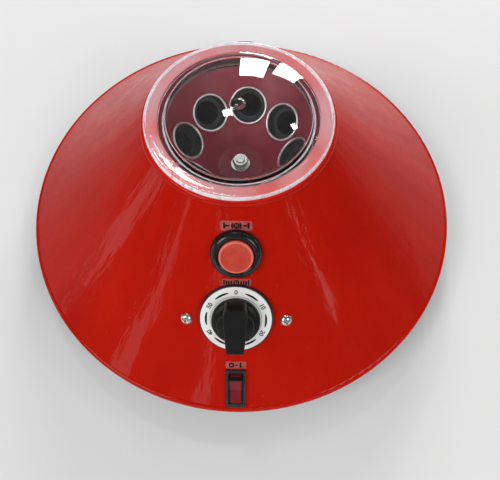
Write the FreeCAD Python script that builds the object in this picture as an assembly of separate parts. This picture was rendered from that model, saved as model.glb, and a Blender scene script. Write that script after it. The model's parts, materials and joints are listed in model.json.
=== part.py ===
import FreeCAD, Part
import math
import os

from FreeCAD import Placement, Rotation, Vector

# Laboratory centrifuge with a conical housing, a clear lift-off lid and an eight-place fixed-angle
# rotor driven directly by a motor on rubber mounts. Millimetres, +Z up, z = 0 under the feet, the
# spin axis on Z, and the controls on the -Y side.

# --- overall sizes ---
rim_radius = 175.0            # widest radius of the housing
rim_height = 28.0             # underside of the housing's skirt above the table
lip_height = 144.0            # top face of the mouth's lip, where the lid rests
mouth_radius = 54.0           # opening in the top of the housing
lip_width = 10.5              # flat ring around the mouth
shell_wall = 2.5
flare_sag = 2.5               # how far the flare's side bows in from a straight cone
neck_drop = 4.0               # height of the rounded edge under the lip
neck_spread = 1.5             # how much wider the neck is than the lip
shoulder_width = 3.0          # rounded edge between the flare and the skirt
shoulder_rise = 5.5           # height of the shoulder above the skirt's underside
part_gap = 0.3                # gap beside pieces that move past each other
press_gap = 0.02              # radial gap of a pressed or threaded joint
seat_gap = 0.05               # gap under a piece that is shaped to the housing's curve
running_gap = 0.03            # radial gap of a shaft in its bush

# --- base and feet ---
foot_height = 10.0
foot_radius = 15.0
foot_top_radius = 17.0
foot_circle = 128.0
foot_screw_recess = 3.5
sheet = 2.0                   # pressed steel of the base pan
pan_wall_inset = 9.0          # the pan's wall inside the housing's widest radius
pan_flange_inset = 0.8        # the pan's flange inside the same radius
post_inset = 19.0             # screw posts that join the housing to the pan, inside it too
post_radius = 5.0
post_count = 6
post_pilot_radius = 1.6
post_pilot_depth = 14.0
base_screw_length = 12.0
screw_radius = 2.0
screw_head_radius = 4.2
screw_head_height = 2.4
screw_hole_gap = 0.25

# --- controls, one below the other down the front of the flare ---
brake_place = 86.7            # the button's distance from the spin axis
brake_to_timer = 46.35        # centre to centre down the slope
timer_to_switch = 57.55
gland_place = 156.0           # the cable gland's distance from the spin axis, at the rear

bezel_radius = 17.0
bezel_height = 5.0
brake_cap_radius = 11.2
brake_cap_height = 3.5
brake_cap_crown = 0.8
brake_travel = 3.0
brake_neck_wall = 1.3
brake_well = 5.0              # depth of the spring's seat under the housing's surface
brake_neck_depth = 8.0
brake_stem_radius = 4.0
brake_nut_height = 4.0
brake_nut_width = 4.0
brake_block_size = (26.0, 22.0, 11.0)
spring_radius = 6.4
spring_wire = 0.5
spring_turns = 5

dial_radius = 24.2
dial_thickness = 1.0
dial_seat_height = 2.4        # black seat that levels the dial on the curved housing
dial_rim = 1.0                # rim of the seat outside the dial
timer_neck_radius = 5.0
timer_bracket_thickness = 1.5
timer_bracket_size = (84.0, 22.0)
timer_case_drop = 1.4         # space that the housing's curve needs above the case
timer_case_size = (40.0, 40.0, 13.0)
timer_pad_radius = 12.0
timer_screw_spread = 34.2     # each screw's distance from the dial's centre line
timer_screw_head_radius = 4.3
timer_screw_head_height = 2.2
timer_screw_length = 5.0
spindle_radius = 3.0
knob_lift = 0.6               # gap between the dial and the knob's skirt
knob_skirt_radius = 16.5
knob_skirt_height = 4.5
knob_core_radius = 12.5
knob_height = 17.0
knob_bar_length = 36.0
knob_bar_width = 15.0
knob_bar_tip_width = 11.0
knob_bore_depth = 10.0

switch_bezel_size = (13.8, 30.0, 2.0)
switch_body_size = (12.4, 26.4, 17.0)
switch_cavity_length = 24.8
switch_cavity_floor = 7.5
rocker_width = 10.0
rocker_throw_deg = 20.0
rocker_pivot_depth = 1.0
rocker_pin_radius = 0.9
rocker_end_rise = 5.2         # height of the paddle's two ends over its pivot
rocker_middle_rise = 3.4
rocker_under = 3.0
terminal_size = (0.8, 4.8, 6.0)

gland_bore_radius = 3.6
gland_thread_radius = 6.0
gland_body_length = 14.0
gland_head_radius = 9.5
gland_head_height = 2.0
gland_cap_radius = 8.5
gland_cap_height = 3.0
gland_nut_radius = 9.5
gland_nut_height = 4.0

# --- rotor ---
tube_count = 8
first_tube_deg = 82.0
tube_tilt_deg = 45.0
shield_gap = 0.61             # half the gap between neighbouring shields' rims
head_thickness = 4.0
head_rim_margin = 9.25        # head outside the shields' rims, measured level
head_floor_radius = 17.0
head_motor_gap = 3.0          # between the head's hub and the motor
head_hub_radius = 12.0
head_hub_depth = 8.0
shield_bore_radius = 12.2
shield_wall = 0.8
shield_rim_lip = 1.2          # rolled rim outside the shield's body
shield_rim_height = 2.0
shield_length = 98.0
shield_end = 1.2
adaptor_top_drop = 2.0        # how far the adaptor's top lies below the head's upper face
adaptor_bore_radius = 8.8
adaptor_gap = 0.1             # radial gap between a sleeve and its shield
cushion_thickness = 5.0
washer_radius = 7.25
washer_thickness = 1.5
nut_across_flats = 10.0
nut_height = 5.0
shaft_radius = 4.0
shaft_thread_radius = 3.0

# --- motor ---
motor_radius = 38.0
motor_wall = 1.5
motor_mount_circle = 50.0
motor_mount_radius = 8.0
motor_mount_height = 9.0
motor_mount_count = 3
stand_thickness = 2.5
stand_radius = 60.0
motor_bell_height = 8.0
motor_can_height = 36.0
bush_radius = 8.0
bush_length = 7.0
stator_inner_radius = 29.0
air_gap = 0.6
armature_radius = 20.8
armature_height = 20.0
armature_lift = 4.0           # from the bottom of the can to the armature
stator_gap = 0.1              # radial gap between the can and the stator
pole_half_angle_deg = 35.0
coil_thickness = 5.0
commutator_radius = 9.0
commutator_height = 8.0
commutator_gap = 2.0          # from the armature to the commutator
brush_size = (5.0, 12.0, 5.0)
holder_wall = 1.0

# --- lid ---
lid_edge_inset = 1.0          # the lid's edge inside the lip's edge
lid_thickness = 3.0
dome_wall = 2.5
dome_rise = 11.0
spigot_depth = 6.0
spigot_inner_radius = 48.8
spigot_gap = 0.5
lid_boss_radius = 4.5
lid_boss_height = 0.8


def revolve(points_or_edges):
    """A solid of revolution about Z from a closed wire in the XZ plane."""
    wire = Part.Wire(points_or_edges)
    return Part.Face(wire).revolve(Vector(0, 0, 0), Vector(0, 0, 1), 360)


def polygon_edges(points):
    """Straight edges through (r, z) points, without the closing one."""
    spots = [Vector(r, 0, z) for r, z in points]
    return [Part.LineSegment(a, b).toShape() for a, b in zip(spots, spots[1:])]


def revolved_polygon(points):
    """A solid of revolution from an outline of (r, z) points."""
    return revolve(polygon_edges(points + points[:1]))


def arc_edge(start, middle, end):
    """An arc through three (r, z) points."""
    return Part.Arc(*[Vector(r, 0, z) for r, z in (start, middle, end)]).toShape()


def cylinder(radius, low, high, x=0.0, y=0.0):
    """A cylinder along local Z between two heights."""
    return Part.makeCylinder(radius, high - low, Vector(x, y, low))


def ring(outer, inner, low, high, x=0.0, y=0.0):
    """A tube along local Z between two heights."""
    return cylinder(outer, low, high, x, y).cut(cylinder(inner, low - 1, high + 1, x, y))


def centred_box(size_x, size_y, low, high, x=0.0, y=0.0):
    """A box centred on a local vertical line between two heights."""
    corner = Vector(x - size_x / 2, y - size_y / 2, low)
    return Part.makeBox(size_x, size_y, high - low, corner)


def hexagon(across_flats, low, high):
    """A hexagonal prism on the local Z axis."""
    corner = across_flats / math.sqrt(3)
    spots = [
        Vector(corner * math.cos(math.radians(a)), corner * math.sin(math.radians(a)), low)
        for a in range(0, 361, 60)
    ]
    return Part.Face(Part.makePolygon(spots)).extrude(Vector(0, 0, high - low))


def moved(shape, place):
    """A copy of a shape carried from its local frame to a place."""
    copy = shape.copy()
    copy.Placement = place.multiply(copy.Placement)
    return copy


def turned(shape, degrees):
    """A copy of a shape turned about the spin axis."""
    return moved(shape, Placement(Vector(0, 0, 0), Rotation(Vector(0, 0, 1), degrees)))


def polar(radius, degrees):
    """The x and y of a point on a circle about the spin axis."""
    angle = math.radians(degrees)
    return radius * math.cos(angle), radius * math.sin(angle)


def group(shapes):
    """Several separate solids in one node."""
    return Part.makeCompound(shapes)


# --- values worked out from those above ---
tilt = math.radians(tube_tilt_deg)
pan_wall_radius = rim_radius - pan_wall_inset
pan_flange_radius = rim_radius - pan_flange_inset
post_circle = rim_radius - post_inset
pan_floor = foot_height + sheet
stand_low = pan_floor + motor_mount_height
stand_top = stand_low + stand_thickness
can_low = stand_top + motor_bell_height
can_top = can_low + motor_can_height
bell_top = can_top + motor_bell_height
hub_low = bell_top + head_motor_gap
head_floor = hub_low + head_hub_depth
shield_rim_radius = shield_bore_radius + shield_wall + shield_rim_lip
mouth_circle = (shield_rim_radius + shield_gap) / math.sin(math.pi / tube_count)
mouth_height = head_floor + (mouth_circle - head_floor_radius) / math.tan(tilt)
head_rim_radius = mouth_circle + shield_rim_radius * math.sin(tilt) + head_rim_margin
brake_neck_radius = brake_cap_radius + part_gap + brake_neck_wall
bush_hole = shaft_radius + running_gap

# --- the housing's flare: an arc from the neck to the shoulder, bowed towards the spin axis ---
lip_radius = mouth_radius + lip_width
neck = (lip_radius + neck_spread, lip_height - neck_drop)
shoulder = (rim_radius - shoulder_width, rim_height + shoulder_rise)
chord = math.dist(neck, shoulder)
flare_radius = (chord * chord / 4 + flare_sag * flare_sag) / (2 * flare_sag)
chord_normal = ((neck[1] - shoulder[1]) / chord, (shoulder[0] - neck[0]) / chord)
flare_centre = tuple(
    (neck[i] + shoulder[i]) / 2 + chord_normal[i] * (flare_radius - flare_sag) for i in (0, 1)
)


def flare_height(radius, depth=0.0):
    """Height of the flare, or of a surface under it by a depth, at a distance from the axis."""
    reach = flare_radius + depth
    return flare_centre[1] - math.sqrt(reach * reach - (flare_centre[0] - radius) ** 2)


def flare_distance(height, depth=0.0):
    """Distance from the axis of the same surface at a height."""
    reach = flare_radius + depth
    return flare_centre[0] - math.sqrt(reach * reach - (flare_centre[1] - height) ** 2)


def flare_arc(start, end, depth=0.0):
    """The arc between two points of the flare, or of a surface under it."""
    reach = flare_radius + depth
    angles = [math.atan2(flare_centre[1] - p[1], flare_centre[0] - p[0]) for p in (start, end)]
    half = sum(angles) / 2
    middle = (
        flare_centre[0] - reach * math.cos(half),
        flare_centre[1] - reach * math.sin(half),
    )
    return arc_edge(start, middle, end)


def under_flare(depth):
    """All the space under the flare, or under a surface below it, as one solid."""
    low = (flare_distance(rim_height, depth), rim_height)
    high = (flare_distance(lip_height, depth), lip_height)
    edges = polygon_edges([(0, lip_height), (0, 0), (low[0], 0), low])
    edges.append(flare_arc(low, high, depth))
    edges += polygon_edges([high, (0, lip_height)])
    return revolve(edges)


def panel(distance, azimuth_deg=-90.0, side=0.0):
    """A frame on the flare: local Z out of the surface, local Y uphill, local X to the right.

    side is how far the frame lies to the right of the azimuth, along the surface's own circle.
    """
    height = flare_height(distance)
    normal_r = (flare_centre[0] - distance) / flare_radius
    normal_z = (flare_centre[1] - height) / flare_radius
    azimuth = math.radians(azimuth_deg) + math.asin(side / distance)
    outward = Vector(math.cos(azimuth), math.sin(azimuth), 0)
    normal = outward * normal_r + Vector(0, 0, normal_z)
    across = Vector(-math.sin(azimuth), math.cos(azimuth), 0)
    uphill = normal.cross(across)
    spin = Rotation(across, uphill, normal, "ZXY")
    return Placement(outward * distance + Vector(0, 0, height), spin)


def on_surface(shape, place, depth=0.0):
    """The part of a placed shape that stands outside the flare, or a surface under it."""
    return moved(shape, place).cut(under_flare(depth - seat_gap))


def beneath_surface(shape, place, depth=0.0):
    """The part of a placed shape that lies under the flare, or a surface below it."""
    return moved(shape, place).common(under_flare(depth + seat_gap))


level_share = (shoulder[0] - neck[0]) / chord
timer_place = brake_place + brake_to_timer * level_share
switch_place = timer_place + timer_to_switch * level_share
brake_frame = panel(brake_place)
timer_frame = panel(timer_place)
switch_frame = panel(switch_place)
gland_frame = panel(gland_place, 90.0)
timer_screw_distance = math.hypot(timer_place, timer_screw_spread)
timer_screw_frames = [
    panel(timer_screw_distance, -90.0, side) for side in (-timer_screw_spread, timer_screw_spread)
]
post_spots = [polar(post_circle, k * 360 / post_count) for k in range(post_count)]
foot_spots = [polar(foot_circle, 45 + k * 90) for k in range(4)]
mount_spots = [
    polar(motor_mount_circle, 90 + k * 360 / motor_mount_count) for k in range(motor_mount_count)
]


# --- base ---
def base_pan():
    """Pressed steel pan: floor, wall and the flange that the housing stands on."""
    inner = pan_wall_radius - sheet
    pan = revolved_polygon([
        (0, foot_height), (pan_wall_radius, foot_height),
        (pan_wall_radius, rim_height - sheet), (pan_flange_radius, rim_height - sheet),
        (pan_flange_radius, rim_height), (inner, rim_height), (inner, pan_floor), (0, pan_floor),
    ])
    for x, y in post_spots + foot_spots + mount_spots:
        pan = pan.cut(cylinder(screw_radius + screw_hole_gap, 0, rim_height, x, y))
    return pan


def rubber_feet():
    """Four round feet, each with a recess for its screw's head."""
    feet = []
    for x, y in foot_spots:
        foot = Part.makeCone(foot_radius, foot_top_radius, foot_height, Vector(x, y, 0))
        recess = cylinder(screw_head_radius + 1, -1, foot_screw_recess + screw_head_height, x, y)
        hole = cylinder(screw_radius + screw_hole_gap, 0, foot_height + 1, x, y)
        feet.append(foot.cut(recess).cut(hole))
    return group(feet)


def pan_head_screw(head_low, length, x, y):
    """A screw driven upwards: head below, shank above."""
    top = head_low + screw_head_height
    head = cylinder(screw_head_radius, head_low, top, x, y)
    return head.fuse(cylinder(screw_radius, top, top + length, x, y)).removeSplitter()


def foot_screws():
    """The screws that hold the feet, each through to a nut's height above the floor."""
    length = foot_height - foot_screw_recess - screw_head_height + sheet + 3.0
    return group([pan_head_screw(foot_screw_recess, length, x, y) for x, y in foot_spots])


def shell_screws():
    """The screws from under the pan into the housing's posts."""
    low = foot_height - screw_head_height
    return group([pan_head_screw(low, base_screw_length, x, y) for x, y in post_spots])


# --- housing ---
def body_shell():
    """Moulded housing: lip, flare, rounded shoulder, skirt and screw posts."""
    lip_under = lip_height - shell_wall
    inner_top = (flare_distance(lip_under, shell_wall), lip_under)
    inner_rim = rim_radius - shell_wall
    inner_low = (inner_rim, flare_height(inner_rim, shell_wall))
    skirt_top = shoulder[1] - shoulder_width * 0.9
    edges = polygon_edges([(mouth_radius, lip_under), (mouth_radius, lip_height),
                           (lip_radius, lip_height)])
    bulge = (lip_radius + neck_spread * 0.8, lip_height - neck_drop * 0.3)
    edges.append(arc_edge((lip_radius, lip_height), bulge, neck))
    edges.append(flare_arc(neck, shoulder))
    roll = (rim_radius - shoulder_width * 0.3, (shoulder[1] + skirt_top) / 2 + 0.5)
    edges.append(arc_edge(shoulder, roll, (rim_radius, skirt_top)))
    edges += polygon_edges([(rim_radius, skirt_top), (rim_radius, rim_height),
                            (inner_rim, rim_height), inner_low])
    edges.append(flare_arc(inner_low, inner_top, shell_wall))
    edges += polygon_edges([inner_top, (mouth_radius, lip_under)])
    shell = revolve(edges)

    inside = under_flare(shell_wall / 2)
    for x, y in post_spots:
        post = cylinder(post_radius, pan_floor, lip_height, x, y).common(inside)
        shell = shell.fuse(post)
    for x, y in post_spots:
        pilot = cylinder(screw_radius + press_gap, 0, pan_floor + post_pilot_depth, x, y)
        shell = shell.cut(pilot)

    through = 12.0
    cuts = [
        moved(cylinder(brake_neck_radius + part_gap, -through, through), brake_frame),
        moved(cylinder(timer_neck_radius + part_gap, -through, through), timer_frame),
        moved(cylinder(gland_thread_radius + part_gap, -through, through), gland_frame),
        moved(centred_box(switch_body_size[0] + 2 * part_gap, switch_body_size[1] + 2 * part_gap,
                          -through, through), switch_frame),
    ]
    for frame in timer_screw_frames:
        cuts.append(moved(cylinder(screw_radius + screw_hole_gap, -through, through), frame))
    for tool in cuts:
        shell = shell.cut(tool)
    return shell.removeSplitter()


# --- brake button ---
def brake_bezel():
    """Black collar with a rounded crest, and the threaded neck that holds the spring."""
    opening = brake_cap_radius + part_gap
    crest = (opening + bezel_radius) / 2
    edges = [
        arc_edge((opening, bezel_height - 1.2), (crest, bezel_height), (bezel_radius, 1.6)),
    ]
    edges += polygon_edges([(bezel_radius, 1.6), (bezel_radius, -3.0), (opening, -3.0),
                            (opening, bezel_height - 1.2)])
    collar = on_surface(revolve(edges), brake_frame)
    neck_tube = revolved_polygon([
        (opening, bezel_height - 1.2), (opening, -brake_well),
        (brake_stem_radius + part_gap, -brake_well),
        (brake_stem_radius + part_gap, -brake_neck_depth),
        (brake_neck_radius, -brake_neck_depth), (brake_neck_radius, 1.0),
        (opening + brake_neck_wall, bezel_height - 1.2),
    ])
    return collar.fuse(moved(neck_tube, brake_frame)).removeSplitter()


def brake_button():
    """Red cap with a crowned top and a guiding stem."""
    top = bezel_height + 1.0
    low = top - brake_cap_height
    edges = [arc_edge((0, top + brake_cap_crown), (brake_cap_radius / 2, top + brake_cap_crown * 0.75),
                      (brake_cap_radius - 0.8, top))]
    edges += polygon_edges([(brake_cap_radius - 0.8, top), (brake_cap_radius, top - 0.8),
                            (brake_cap_radius, low), (brake_stem_radius, low),
                            (brake_stem_radius, -brake_neck_depth), (0, -brake_neck_depth),
                            (0, top + brake_cap_crown)])
    return moved(revolve(edges), brake_frame)


def brake_spring():
    """Coil spring between the neck's floor and the cap, of eight-sided wire."""
    low = -brake_well + spring_wire
    high = bezel_height + 1.0 - brake_cap_height - spring_wire
    radius = spring_radius - spring_wire
    helix = Part.Wire(Part.makeHelix((high - low) / spring_turns, high - low, radius))
    spots = [Vector(radius + spring_wire * math.cos(math.radians(a)), 0,
                    spring_wire * math.sin(math.radians(a))) for a in range(0, 361, 45)]
    wire = Part.makePolygon(spots)
    coil = moved(helix.makePipeShell([wire], True, False), Placement(Vector(0, 0, low), Rotation()))
    return moved(coil, brake_frame)


def brake_nut():
    """Ring nut that clamps the collar from inside."""
    outer = brake_neck_radius + brake_nut_width
    nut = ring(outer, brake_neck_radius + press_gap, -shell_wall - brake_nut_height, 0)
    return beneath_surface(nut, brake_frame, shell_wall)


def brake_contact_block():
    """Switch block under the neck, with a well for the stem's travel."""
    size_x, size_y, depth = brake_block_size
    low = -brake_neck_depth - depth
    block = centred_box(size_x, size_y, low, -brake_neck_depth)
    well = cylinder(brake_stem_radius + part_gap, -brake_neck_depth - brake_travel - 1.5, 0)
    return moved(block.cut(well), brake_frame)


# --- timer ---
def dial_seat():
    """Black seat between the curved housing and the flat dial."""
    seat = ring(dial_radius + dial_rim, timer_neck_radius + part_gap, -6, dial_seat_height)
    pocket = ring(dial_radius + press_gap, 0.1, dial_seat_height - dial_thickness * 0.6,
                  dial_seat_height + 1)
    return on_surface(seat.cut(pocket), timer_frame)


def dial_plate():
    """Flat round dial in the seat's pocket."""
    low = dial_seat_height - dial_thickness * 0.6
    plate = ring(dial_radius, timer_neck_radius + part_gap, low, low + dial_thickness)
    return moved(plate, timer_frame)


def timer_bracket():
    """Strip behind the housing, tapped for the two screws."""
    size_x, size_y = timer_bracket_size
    inner = shell_wall + timer_bracket_thickness
    strip = centred_box(size_x, size_y, -30, 10)
    strip = strip.cut(cylinder(timer_neck_radius + part_gap, -40, 20))
    strip = beneath_surface(strip, timer_frame, shell_wall).cut(under_flare(inner))
    for frame in timer_screw_frames:
        strip = strip.cut(moved(cylinder(screw_radius + press_gap, -20, 20), frame))
    return strip


def timer_case():
    """Clockwork case with a pad against the bracket and a neck through the housing."""
    size_x, size_y, depth = timer_case_size
    inner = shell_wall + timer_bracket_thickness
    top = -inner - timer_case_drop
    case = centred_box(size_x, size_y, top - depth, top)
    pad = beneath_surface(cylinder(timer_pad_radius, top - 1, 0), timer_frame, inner)
    neck_top = dial_seat_height - dial_thickness * 0.6
    neck_tube = cylinder(timer_neck_radius, top - 1, neck_top)
    whole = moved(case.fuse(neck_tube), timer_frame).fuse(pad)
    bore = moved(cylinder(spindle_radius + running_gap, top - depth / 2, 20), timer_frame)
    return whole.cut(bore).removeSplitter()


def timer_screws():
    """Two domed screws with cross recesses, either side of the dial."""
    screws = []
    rise = timer_screw_head_height
    edges = [arc_edge((0, rise), (timer_screw_head_radius * 0.7, rise * 0.8),
                      (timer_screw_head_radius, 0.1))]
    edges += polygon_edges([(timer_screw_head_radius, 0.1), (timer_screw_head_radius, 0.05),
                            (screw_radius, 0.05), (screw_radius, -timer_screw_length),
                            (0, -timer_screw_length), (0, rise)])
    screw = revolve(edges)
    for size_x, size_y in ((1.1, 4.6), (4.6, 1.1)):
        screw = screw.cut(centred_box(size_x, size_y, rise - 1.3, rise + 1))
    for frame in timer_screw_frames:
        screws.append(moved(screw, frame))
    return group(screws)


def timer_shaft():
    """Spindle from the clockwork up into the knob."""
    inner = shell_wall + timer_bracket_thickness
    low = -inner - timer_case_drop - timer_case_size[2] / 2 + part_gap
    top = dial_seat_height + dial_thickness * 0.4 + knob_lift + knob_bore_depth
    return moved(cylinder(spindle_radius, low, top), timer_frame)


def timer_knob():
    """Knob: round skirt, core and a tapered bar grip that points uphill at zero."""
    low = dial_seat_height + dial_thickness * 0.4 + knob_lift
    skirt = Part.makeCone(knob_skirt_radius, knob_skirt_radius - 1.0, knob_skirt_height,
                          Vector(0, 0, low))
    core = cylinder(knob_core_radius, low, low + knob_height * 0.6)
    half = knob_bar_length / 2
    outline = [
        (-knob_bar_width / 2, half * 0.8), (-knob_bar_width / 2 + 2, half),
        (knob_bar_width / 2 - 2, half), (knob_bar_width / 2, half * 0.8),
        (knob_bar_tip_width / 2, -half), (-knob_bar_tip_width / 2, -half),
    ]
    spots = [Vector(x, y, low + knob_skirt_height) for x, y in outline]
    bar = Part.Face(Part.makePolygon(spots + spots[:1]))
    bar = bar.extrude(Vector(0, 0, knob_height - knob_skirt_height))
    knob = skirt.fuse(core).fuse(bar)
    bore = cylinder(spindle_radius + press_gap, low - 1, low + knob_bore_depth + 0.2)
    return moved(knob.cut(bore).removeSplitter(), timer_frame)


# --- power switch ---
def switch_housing():
    """Snap-in body and bezel of the rocker switch."""
    bezel_x, bezel_y, bezel_z = switch_bezel_size
    body_x, body_y, depth = switch_body_size
    cavity_x = rocker_width + 2 * part_gap
    bezel = on_surface(centred_box(bezel_x, bezel_y, -4, bezel_z), switch_frame)
    body = moved(centred_box(body_x, body_y, -depth, bezel_z), switch_frame)
    cavity = centred_box(cavity_x, switch_cavity_length, -switch_cavity_floor, bezel_z + 1)
    pins = Part.makeCylinder(rocker_pin_radius + running_gap, 40,
                             Vector(-20, 0, -rocker_pivot_depth), Vector(1, 0, 0))
    inner = bezel_x / 2 - 0.4
    pins = pins.common(centred_box(2 * inner, 4, -4, 4))
    return bezel.fuse(body).cut(moved(cavity.fuse(pins), switch_frame)).removeSplitter()


def rocker_paddle():
    """Rocker with two raised ends and stub pins, resting with its lower end pressed."""
    reach = switch_cavity_length / 2 - 0.4
    side = math.sqrt(reach * reach - rocker_end_rise * rocker_end_rise)
    low_side = math.sqrt(reach * reach - rocker_under * rocker_under)
    x = -rocker_width / 2
    spots = {
        "middle": Vector(x, 0, rocker_middle_rise), "up": Vector(x, side, rocker_end_rise),
        "end": Vector(x, reach, 0), "low": Vector(x, low_side, -rocker_under),
        "low2": Vector(x, -low_side, -rocker_under), "end2": Vector(x, -reach, 0),
        "up2": Vector(x, -side, rocker_end_rise),
    }
    edges = [
        Part.LineSegment(spots["middle"], spots["up"]).toShape(),
        Part.Arc(spots["up"], spots["end"], spots["low"]).toShape(),
        Part.LineSegment(spots["low"], spots["low2"]).toShape(),
        Part.Arc(spots["low2"], spots["end2"], spots["up2"]).toShape(),
        Part.LineSegment(spots["up2"], spots["middle"]).toShape(),
    ]
    paddle = Part.Face(Part.Wire(edges)).extrude(Vector(rocker_width, 0, 0))
    pin_reach = rocker_width / 2 + part_gap + 0.8
    pins = Part.makeCylinder(rocker_pin_radius, 2 * pin_reach, Vector(-pin_reach, 0, 0),
                             Vector(1, 0, 0))
    paddle = paddle.fuse(pins).removeSplitter()
    tilt = Rotation(Vector(1, 0, 0), rocker_throw_deg / 2)
    paddle = moved(paddle, Placement(Vector(0, 0, -rocker_pivot_depth), tilt))
    return moved(paddle, switch_frame)


def switch_terminals():
    """Three blades behind the switch."""
    size_x, size_y, length = terminal_size
    depth = switch_body_size[2]
    blades = []
    for y in (-2.0, 5.0, 12.0):
        blade = centred_box(size_y, size_x, -depth - length, -depth, 0, y - 2.0)
        blades.append(moved(blade, switch_frame))
    return group(blades)


# --- cable gland ---
def gland_body():
    """Gland body: flange outside the housing, threaded barrel through it."""
    flange = on_surface(cylinder(gland_head_radius, -3, gland_head_height), gland_frame)
    barrel = moved(cylinder(gland_thread_radius, -gland_body_length, gland_head_height), gland_frame)
    bore = moved(cylinder(gland_bore_radius, -30, 30), gland_frame)
    return flange.fuse(barrel).cut(bore).removeSplitter()


def gland_cap():
    """Clamping cap with a rounded mouth."""
    low = gland_head_height
    edges = polygon_edges([(gland_bore_radius, low), (gland_cap_radius, low),
                           (gland_cap_radius, low + gland_cap_height * 0.6)])
    edges.append(arc_edge((gland_cap_radius, low + gland_cap_height * 0.6),
                          (gland_cap_radius * 0.86, low + gland_cap_height * 0.88),
                          (gland_cap_radius * 0.6, low + gland_cap_height)))
    edges += polygon_edges([(gland_cap_radius * 0.6, low + gland_cap_height),
                            (gland_bore_radius, low + gland_cap_height),
                            (gland_bore_radius, low)])
    return moved(revolve(edges), gland_frame)


def gland_nut():
    """Nut on the barrel inside the housing."""
    nut = ring(gland_nut_radius, gland_thread_radius + press_gap, -shell_wall - gland_nut_height, 0)
    return beneath_surface(nut, gland_frame, shell_wall)


# --- motor ---
def motor_mounts():
    """Rubber bushes between the pan and the motor's stand."""
    return group([
        ring(motor_mount_radius, screw_radius + screw_hole_gap, pan_floor, stand_low, x, y)
        for x, y in mount_spots
    ])


def mount_bolts():
    """Bolts up through the pan, the rubber mounts and the stand."""
    length = stand_top - foot_height + 3.0
    low = foot_height - screw_head_height
    return group([pan_head_screw(low, length, x, y) for x, y in mount_spots])


def motor_stand():
    """Round plate that carries the motor."""
    stand = ring(stand_radius, bush_radius + 2, stand_low, stand_top)
    for x, y in mount_spots:
        stand = stand.cut(cylinder(screw_radius + press_gap, 0, stand_top + 1, x, y))
    return stand


def motor_bottom_bell():
    """Lower end bell, with a seat for its bush."""
    bell = cylinder(motor_radius, stand_top, can_low)
    hollow = ring(motor_radius - 3, bush_radius + 3, stand_top + 2, can_low + 1)
    return bell.cut(hollow).cut(cylinder(bush_radius + press_gap, stand_top + 1, can_low + 1)).cut(
        cylinder(bush_hole + 0.5, 0, can_low))


def motor_can():
    """Tube that holds the stator, open on two sides for the brush holders."""
    can = ring(motor_radius, motor_radius - motor_wall, can_low, can_top)
    window = centred_box(4 * motor_radius, brush_size[0] + 2 * holder_wall + 0.1,
                         brush_height() - brush_size[2] / 2 - holder_wall - 0.05,
                         brush_height() + brush_size[2] / 2 + holder_wall + 0.05)
    return can.cut(window)


def motor_top_bell():
    """Upper end bell with a boss round the shaft."""
    bell = cylinder(motor_radius, can_top, bell_top)
    edge = ring(motor_radius + 1, bush_radius + 5, bell_top - 3, bell_top + 1)
    hollow = ring(motor_radius - 3, bush_radius + 3, can_top - 1, bell_top - 5)
    bell = bell.cut(edge).cut(hollow)
    bell = bell.cut(cylinder(bush_radius + press_gap, can_top - 1, can_top + bush_length))
    return bell.cut(cylinder(bush_hole + 0.5, can_top, bell_top + 1))


def motor_bushes():
    """Two plain bushes for the shaft."""
    low = ring(bush_radius, bush_hole, stand_top + 1, stand_top + 1 + bush_length)
    high = ring(bush_radius, bush_hole, can_top, can_top + bush_length)
    return group([low, high])


def armature_low():
    """Underside of the armature and the stator."""
    return can_low + armature_lift


def brush_height():
    """Height of the brushes' centre line, in the middle of the commutator."""
    return armature_low() + armature_height + commutator_gap + commutator_height / 2


def sector(outer, inner, low, high, middle_deg, half_deg):
    """A block between two radii and two angles about the spin axis."""
    start = polygon_edges([(inner, low), (outer, low), (outer, high), (inner, high), (inner, low)])
    block = Part.Face(Part.Wire(start)).revolve(Vector(0, 0, 0), Vector(0, 0, 1), 2 * half_deg)
    return turned(block, middle_deg - half_deg)


def stator_core():
    """Laminated ring with two poles."""
    low = armature_low()
    core = ring(motor_radius - motor_wall - stator_gap, stator_inner_radius, low,
                low + armature_height)
    for middle in (90, 270):
        core = core.fuse(sector(stator_inner_radius + 1, armature_radius + air_gap, low,
                                low + armature_height, middle, pole_half_angle_deg))
    return core.removeSplitter()


def field_coils():
    """A winding round each pole."""
    low = armature_low()
    outer = stator_inner_radius - part_gap
    inner = armature_radius + air_gap + 2
    coils = []
    for middle in (90, 270):
        spread = math.degrees(coil_thickness / inner)
        block = sector(outer, inner, low - coil_thickness, low + armature_height + coil_thickness,
                       middle, pole_half_angle_deg + spread)
        pole = sector(outer + 5, inner - 5, low - press_gap, low + armature_height + press_gap,
                      middle, pole_half_angle_deg + 0.1)
        coils.append(block.cut(pole))
    return group(coils)


def brush_holders():
    """Two square tubes through the can, on either side of the commutator."""
    z = brush_height()
    width, length, height = brush_size
    holders = []
    for turn in (0, 180):
        outer = Part.makeBox(motor_radius + 3 - 13, width + 2 * holder_wall, height + 2 * holder_wall,
                             Vector(13, -width / 2 - holder_wall, z - height / 2 - holder_wall))
        inner = Part.makeBox(motor_radius - 13, width + 2 * press_gap, height + 2 * press_gap,
                             Vector(12, -width / 2 - press_gap, z - height / 2 - press_gap))
        holders.append(turned(outer.cut(inner), turn))
    return group(holders)


def carbon_brushes():
    """Two brushes just off the commutator."""
    z = brush_height()
    width, length, height = brush_size
    start = commutator_radius + 0.25
    brush = Part.makeBox(length, width, height, Vector(start, -width / 2, z - height / 2))
    return group([turned(brush, turn) for turn in (0, 180)])


def motor_shaft():
    """Shaft from the lower bush to the thread for the rotor's nut."""
    body = cylinder(shaft_radius, stand_top + 0.5, head_floor)
    thread = cylinder(shaft_thread_radius, head_floor - 1, head_floor + washer_thickness + nut_height + 1)
    return body.fuse(thread).removeSplitter()


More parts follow.
